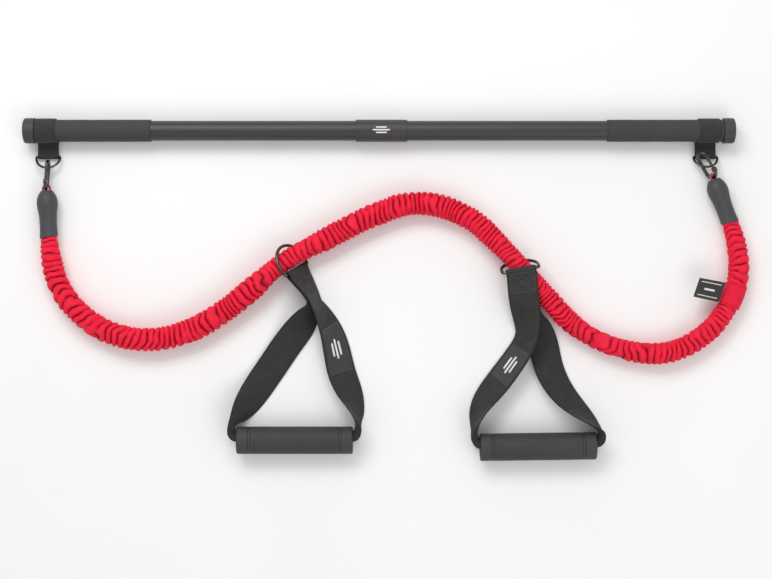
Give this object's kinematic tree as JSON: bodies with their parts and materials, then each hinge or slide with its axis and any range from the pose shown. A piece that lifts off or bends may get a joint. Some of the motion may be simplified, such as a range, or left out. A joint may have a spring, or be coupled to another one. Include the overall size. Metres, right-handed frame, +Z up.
{
  "type": "resistance band",
  "caption": "Exercise set: a fabric-sleeved elastic band clipped to a two-piece foam-ended bar, with two webbing handles that ride on the band.",
  "frame": {"origin": "on the floor, under the middle of the box of the bar and the handles", "axes": "+X along the bar, +Y from the handles to the bar, +Z up from the floor it lies on"},
  "size_m": [0.9194, 0.4346, 0.0403],
  "materials": {
    "red_fabric": "gathered woven polyester",
    "red_cord": "braided cord",
    "latex": "smooth",
    "label": "woven satin",
    "boot_rubber": "matte",
    "plug_plastic": "matte",
    "dark_metal": "gunmetal plate",
    "webbing": "woven nylon",
    "patch_satin": "satin",
    "grip_foam": "matte foam",
    "bar_coating": "satin",
    "bar_foam": "matte foam",
    "cap_rubber": "matte",
    "bare_steel": "turned",
    "collar_plastic": "matte"
  },
  "bodies": {
    "band": {"band_sleeve": "red_fabric", "latex_core": "latex", "sleeve_cuff": "red_fabric", "label_tag": "label", "boot_left": "boot_rubber", "boot_right": "boot_rubber", "end_plug_left": "plug_plastic", "end_plug_right": "plug_plastic", "end_loop_left": "red_cord", "end_loop_right": "red_cord"},
    "hook_left": {"hook_body_left": "dark_metal", "gate_pin_left": "dark_metal"},
    "hook_gate_left_body": {"hook_gate_left": "dark_metal"},
    "ring_left": {"anchor_ring_left": "dark_metal"},
    "anchor_left": {"anchor_strap_left": "webbing"},
    "loop_left": {"handle_ring_left": "dark_metal"},
    "handle_left": {"handle_strap_left": "webbing", "strap_patch_left": "patch_satin"},
    "grip_left_body": {"grip_left": "grip_foam", "grip_liner_left": "plug_plastic"},
    "hook_right": {"hook_body_right": "dark_metal", "gate_pin_right": "dark_metal"},
    "hook_gate_right_body": {"hook_gate_right": "dark_metal"},
    "ring_right": {"anchor_ring_right": "dark_metal"},
    "anchor_right": {"anchor_strap_right": "webbing"},
    "loop_right": {"handle_ring_right": "dark_metal"},
    "handle_right": {"handle_strap_right": "webbing", "strap_patch_right": "patch_satin"},
    "grip_right_body": {"grip_right": "grip_foam", "grip_liner_right": "plug_plastic"},
    "bar_left": {"bar_tube_left": "bar_coating", "foam_sleeve_left": "bar_foam", "end_cap_left": "cap_rubber", "bar_coupler": "bare_steel", "centre_collar": "collar_plastic"},
    "bar_right": {"bar_tube_right": "bar_coating", "foam_sleeve_right": "bar_foam", "end_cap_right": "cap_rubber"}
  },
  "joints": [
    {"name": "hook_swing_left", "type": "hinge", "parent": "band", "child": "hook_left", "pos_m": [-0.42266, 0.13449, 0.0135], "axis": [1, 0.009, 0], "range_deg": [0, 15]},
    {"name": "gate_left", "type": "hinge", "parent": "hook_left", "child": "hook_gate_left_body", "pos_m": [-0.42245, 0.13755, 0.01975], "axis": [-0.9978, 0.0662, 0], "range_deg": [0, 12], "stiffness_Nm_per_rad": 0.01, "springref_deg": -28.65},
    {"name": "ring_swing_left", "type": "hinge", "parent": "hook_left", "child": "ring_left", "pos_m": [-0.4218, 0.1552, 0.0142], "axis": [1, 0, 0], "range_deg": [-10, 4]},
    {"name": "anchor_fold_left", "type": "hinge", "parent": "ring_left", "child": "anchor_left", "pos_m": [-0.4218, 0.1692, 0.004], "axis": [1, 0, 0], "range_deg": [-20, 35]},
    {"name": "hook_swing_right", "type": "hinge", "parent": "band", "child": "hook_right", "pos_m": [0.42371, 0.14214, 0.0135], "axis": [1, 0.009, 0], "range_deg": [0, 15]},
    {"name": "gate_right", "type": "hinge", "parent": "hook_right", "child": "hook_gate_right_body", "pos_m": [0.42421, 0.1525, 0.01823], "axis": [-0.5878, -0.3949, 0.7061], "range_deg": [0, 12], "stiffness_Nm_per_rad": 0.01, "springref_deg": -28.65},
    {"name": "ring_swing_right", "type": "hinge", "parent": "hook_right", "child": "ring_right", "pos_m": [0.4157, 0.1552, 0.0142], "axis": [1, 0, 0], "range_deg": [-10, 4]},
    {"name": "anchor_fold_right", "type": "hinge", "parent": "ring_right", "child": "anchor_right", "pos_m": [0.4157, 0.1692, 0.004], "axis": [1, 0, 0], "range_deg": [-20, 35]},
    {"name": "bar_roll", "type": "hinge", "parent": "anchor_left", "child": "bar_left", "pos_m": [0, 0.2013, 0.016], "axis": [1, 0, 0], "continuous": true},
    {"name": "bar_pull_apart", "type": "slide", "parent": "bar_left", "child": "bar_right", "axis": [1, 0, 0], "range_m": [0, 0.045]},
    {"name": "handle_turn_left", "type": "hinge", "parent": "band", "child": "loop_left", "pos_m": [-0.11388, 0.0397, 0.01963], "axis": [-0.8506, -0.524, 0.0436], "range_deg": [0, 95]},
    {"name": "strap_swing_left", "type": "hinge", "parent": "loop_left", "child": "handle_left", "pos_m": [-0.10455, 0.02455, 0.01963], "axis": [-0.5679, -0.3499, 0.7451], "range_deg": [0, 30]},
    {"name": "grip_spin_left", "type": "hinge", "parent": "handle_left", "child": "grip_left_body", "pos_m": [-0.1069, -0.191, 0.01735], "axis": [1, 0, 0], "continuous": true},
    {"name": "handle_turn_right", "type": "hinge", "parent": "band", "child": "loop_right", "pos_m": [0.17718, 0.03032, 0.0193], "axis": [-0.6625, 0.7489, 0.0173], "range_deg": [0, 95]},
    {"name": "strap_swing_right", "type": "hinge", "parent": "loop_right", "child": "handle_right", "pos_m": [0.1783, 0.02434, 0.03603], "axis": [-0.9829, -0.184, 0], "range_deg": [0, 30]},
    {"name": "grip_spin_right", "type": "hinge", "parent": "handle_right", "child": "grip_right_body", "pos_m": [0.2013, -0.199, 0.01735], "axis": [0.9999, 0.0129, 0], "continuous": true}
  ],
  "couplings": [
    {"joint": "hook_swing_right", "follows": "hook_swing_left", "ratio": 1},
    {"joint": "ring_swing_right", "follows": "ring_swing_left", "ratio": 1},
    {"joint": "anchor_fold_right", "follows": "anchor_fold_left", "ratio": 1}
  ]
}
